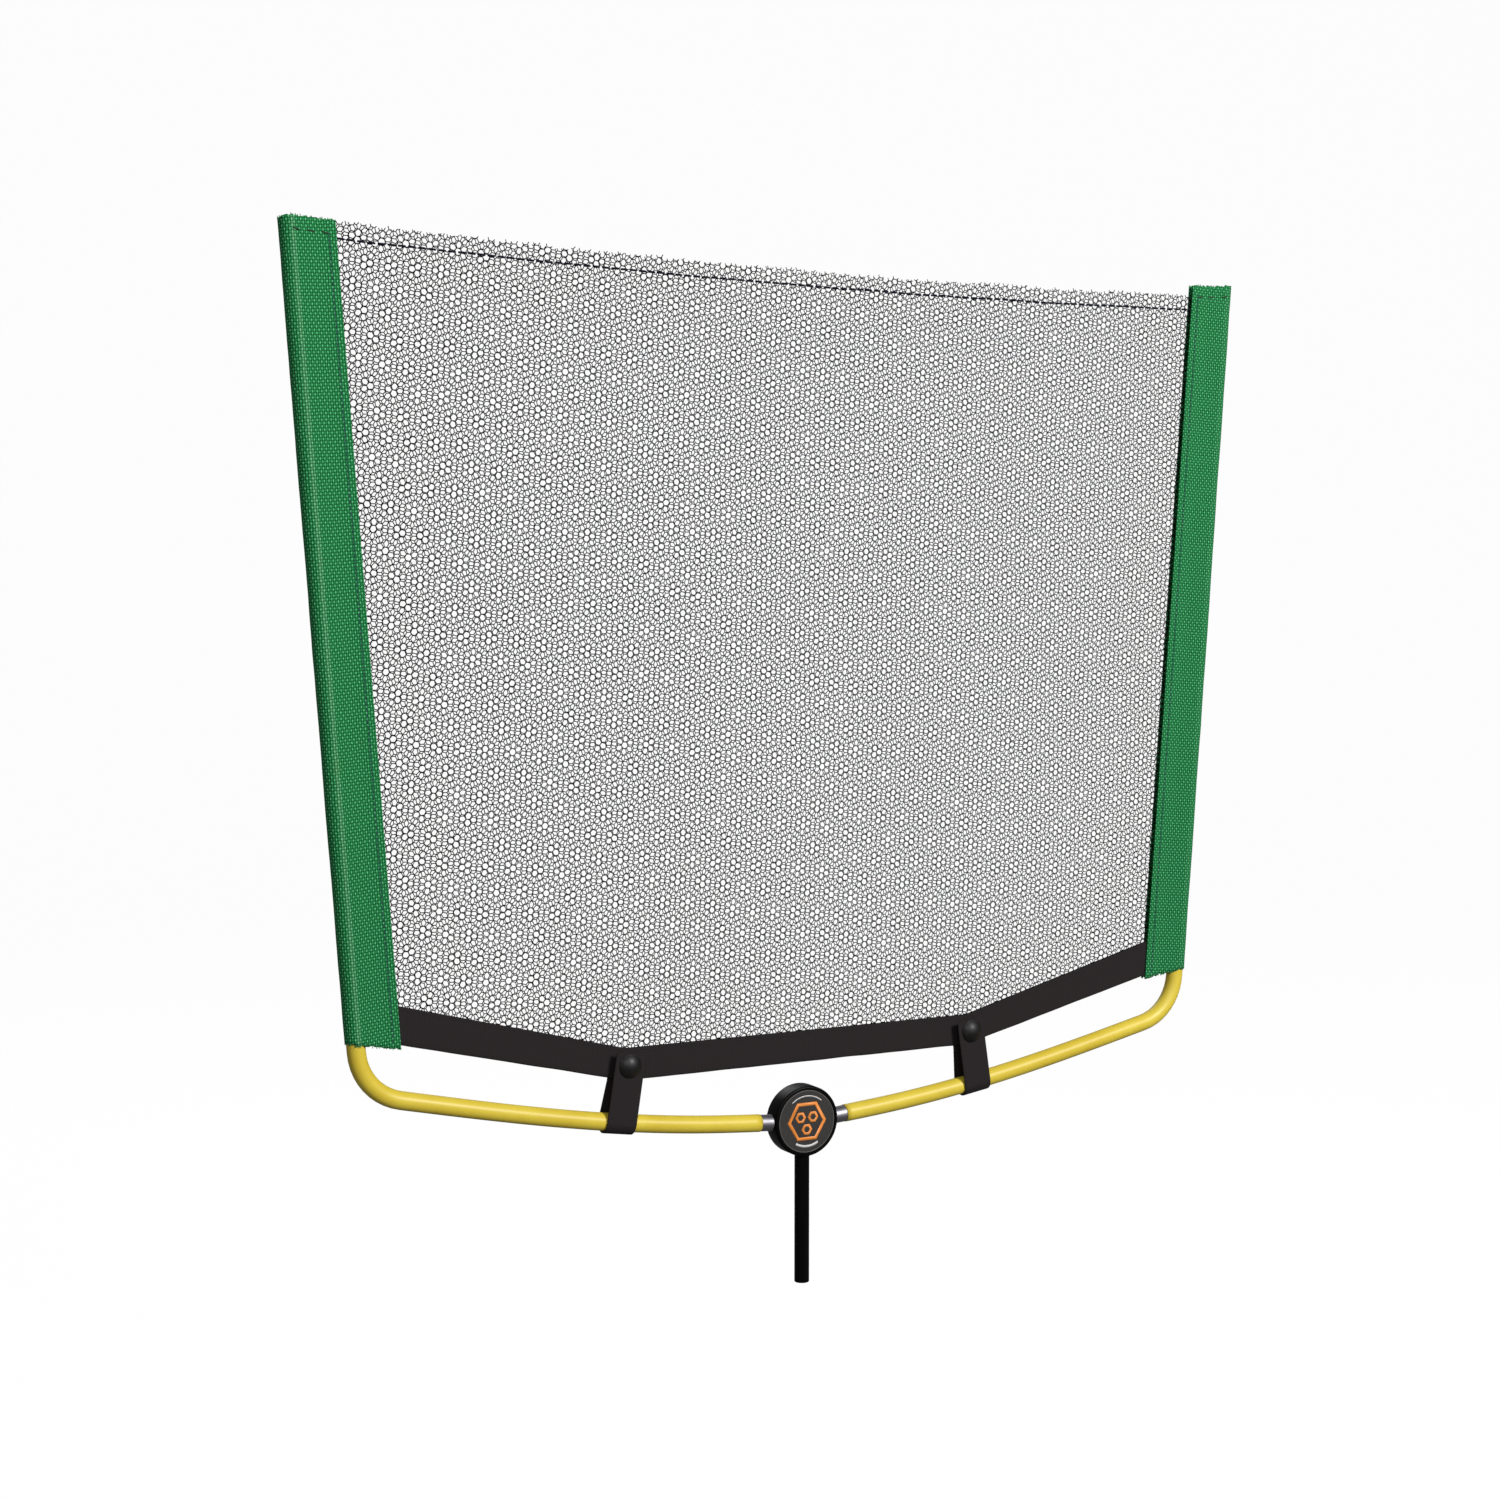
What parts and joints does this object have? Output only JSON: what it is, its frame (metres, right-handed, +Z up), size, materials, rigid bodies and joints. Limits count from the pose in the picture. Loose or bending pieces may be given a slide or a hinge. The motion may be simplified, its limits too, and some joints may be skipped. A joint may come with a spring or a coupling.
{
  "type": "open-ended net scrim",
  "caption": "Open-ended two-layer net panel on a springy U-shaped frame, with a round hub, a mounting pin and snap tabs.",
  "frame": {"origin": "centre of the mounting pin's flat foot", "axes": "+Z up along the pin, +X across the net, -Y the side with the badge and the snap caps"},
  "size_m": [0.6736, 0.018, 0.6522],
  "materials": {
    "black_metal": "satin black over aluminium and steel",
    "bare_metal": "bare, drawn",
    "badge": "printed film over a flat disc",
    "yellow_paint": "satin paint on tube",
    "black_plastic": "moulded",
    "cord": "braided elastic",
    "green_fabric": "plain weave, raw ends",
    "net": "hexagonal net",
    "black_webbing": "flat webbing",
    "snap_metal": "blackened",
    "gloss_black": "glossy lacquered cap"
  },
  "bodies": {
    "frame_and_net": {"bottom_hem": "black_webbing", "cross_pin": "bare_metal", "hub_badge": "badge", "hub_body": "black_metal", "left_arm_ferrule": "bare_metal", "left_arm_tube": "yellow_paint", "left_joint_ferrule": "bare_metal", "left_sleeve": "green_fabric", "left_snap_rivet": "snap_metal", "left_snap_stud": "snap_metal", "left_tab_strap": "black_webbing", "left_upright_tip": "black_plastic", "left_upright_tube": "yellow_paint", "mounting_pin": "black_metal", "net_back": "net", "net_front": "net", "right_arm_ferrule": "bare_metal", "right_arm_tube": "yellow_paint", "right_joint_ferrule": "bare_metal", "right_sleeve": "green_fabric", "right_snap_rivet": "snap_metal", "right_snap_stud": "snap_metal", "right_tab_strap": "black_webbing", "right_upright_tip": "black_plastic", "right_upright_tube": "yellow_paint", "shock_cord": "cord"},
    "left_flap": {"left_tab_flap": "black_webbing", "left_snap_cap": "gloss_black", "left_snap_socket": "snap_metal"},
    "right_flap": {"right_tab_flap": "black_webbing", "right_snap_cap": "gloss_black", "right_snap_socket": "snap_metal"}
  },
  "joints": [
    {"name": "left_flap_fold", "type": "hinge", "parent": "frame_and_net", "child": "left_flap", "pos_m": [-0.12985, -0.00705, 0.11576], "axis": [0.9883, 0, -0.1527], "range_deg": [0, 150]},
    {"name": "right_flap_fold", "type": "hinge", "parent": "frame_and_net", "child": "right_flap", "pos_m": [0.12985, -0.00705, 0.11576], "axis": [0.9883, 0, 0.1527], "range_deg": [0, 150]}
  ]
}
